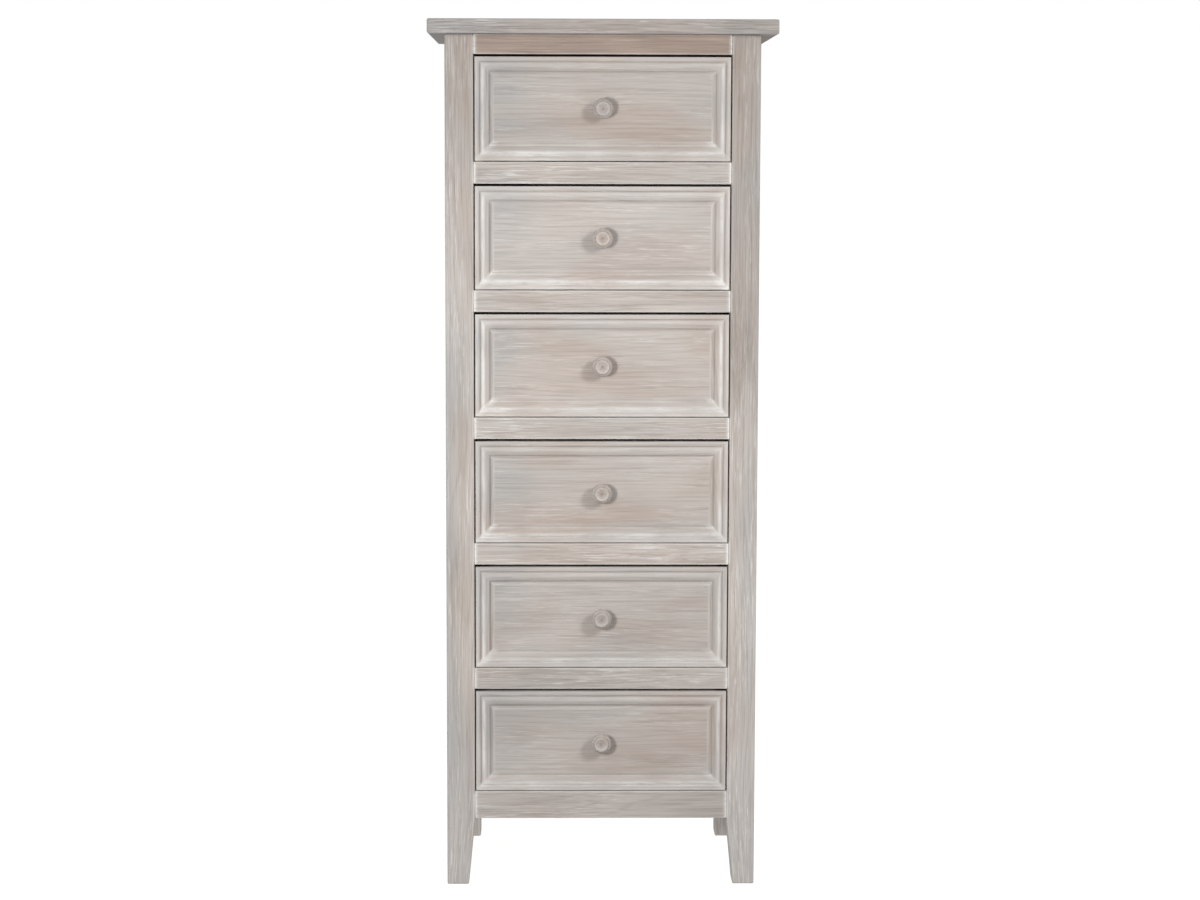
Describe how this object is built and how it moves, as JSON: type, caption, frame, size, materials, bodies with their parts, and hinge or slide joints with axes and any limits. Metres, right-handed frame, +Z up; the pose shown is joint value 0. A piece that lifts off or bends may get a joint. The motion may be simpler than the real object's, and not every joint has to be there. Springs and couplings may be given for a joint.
{
  "type": "chest of drawers",
  "caption": "Tall, narrow chest of drawers in limed grey wood, with moulded inset fronts, turned knobs, square corner posts and a thin overhanging top board.",
  "frame": {"origin": "on the floor, under the middle of the bounding box (knobs and top board included)", "axes": "+Z up, -Y out of the front of the chest, +X to the right of someone facing the front"},
  "size_m": [0.476, 0.334, 1.2],
  "materials": {
    "limed_frame_wood": "limed grey-beige open grain, matt, white along the arrises",
    "limed_front_wood": "limed grey-beige open grain, matt, white in the mouldings",
    "limed_top_wood": "limed grey-brown open grain, matt, a little darker than the fronts",
    "limed_knob_wood": "turned and limed like the drawer fronts",
    "drawer_box_wood": "planed, unstained and dull",
    "plywood": "sanded thin plywood",
    "screw_steel": "zinc plated"
  },
  "bodies": {
    "carcass": {"top": "limed_top_wood", "front_leg_left": "limed_frame_wood", "front_leg_right": "limed_frame_wood", "back_leg_left": "limed_frame_wood", "back_leg_right": "limed_frame_wood", "side_panel_left": "limed_frame_wood", "side_panel_right": "limed_frame_wood", "back_panel": "plywood", "back_top_rail": "limed_frame_wood", "back_bottom_rail": "limed_frame_wood", "top_rail": "limed_frame_wood", "divider_rail_1": "limed_frame_wood", "divider_rail_2": "limed_frame_wood", "divider_rail_3": "limed_frame_wood", "divider_rail_4": "limed_frame_wood", "divider_rail_5": "limed_frame_wood", "apron": "limed_frame_wood", "kicker_left": "drawer_box_wood", "kicker_right": "drawer_box_wood", "runners_left": "drawer_box_wood", "runners_right": "drawer_box_wood", "drawer_stops": "drawer_box_wood", "top_screws": "screw_steel"},
    "drawer_1": {"drawer_1_front": "limed_front_wood", "drawer_1_sides": "drawer_box_wood", "drawer_1_back": "drawer_box_wood", "drawer_1_bottom": "plywood", "drawer_1_knob": "limed_knob_wood", "drawer_1_knob_screw": "screw_steel"},
    "drawer_2": {"drawer_2_front": "limed_front_wood", "drawer_2_sides": "drawer_box_wood", "drawer_2_back": "drawer_box_wood", "drawer_2_bottom": "plywood", "drawer_2_knob": "limed_knob_wood", "drawer_2_knob_screw": "screw_steel"},
    "drawer_3": {"drawer_3_front": "limed_front_wood", "drawer_3_sides": "drawer_box_wood", "drawer_3_back": "drawer_box_wood", "drawer_3_bottom": "plywood", "drawer_3_knob": "limed_knob_wood", "drawer_3_knob_screw": "screw_steel"},
    "drawer_4": {"drawer_4_front": "limed_front_wood", "drawer_4_sides": "drawer_box_wood", "drawer_4_back": "drawer_box_wood", "drawer_4_bottom": "plywood", "drawer_4_knob": "limed_knob_wood", "drawer_4_knob_screw": "screw_steel"},
    "drawer_5": {"drawer_5_front": "limed_front_wood", "drawer_5_sides": "drawer_box_wood", "drawer_5_back": "drawer_box_wood", "drawer_5_bottom": "plywood", "drawer_5_knob": "limed_knob_wood", "drawer_5_knob_screw": "screw_steel"},
    "drawer_6": {"drawer_6_front": "limed_front_wood", "drawer_6_sides": "drawer_box_wood", "drawer_6_back": "drawer_box_wood", "drawer_6_bottom": "plywood", "drawer_6_knob": "limed_knob_wood", "drawer_6_knob_screw": "screw_steel"}
  },
  "joints": [
    {"name": "drawer_1_slide", "type": "slide", "parent": "carcass", "child": "drawer_1", "axis": [0, -1, 0], "range_m": [0, 0.19]},
    {"name": "drawer_2_slide", "type": "slide", "parent": "carcass", "child": "drawer_2", "axis": [0, -1, 0], "range_m": [0, 0.19]},
    {"name": "drawer_3_slide", "type": "slide", "parent": "carcass", "child": "drawer_3", "axis": [0, -1, 0], "range_m": [0, 0.19]},
    {"name": "drawer_4_slide", "type": "slide", "parent": "carcass", "child": "drawer_4", "axis": [0, -1, 0], "range_m": [0, 0.19]},
    {"name": "drawer_5_slide", "type": "slide", "parent": "carcass", "child": "drawer_5", "axis": [0, -1, 0], "range_m": [0, 0.19]},
    {"name": "drawer_6_slide", "type": "slide", "parent": "carcass", "child": "drawer_6", "axis": [0, -1, 0], "range_m": [0, 0.19]}
  ]
}
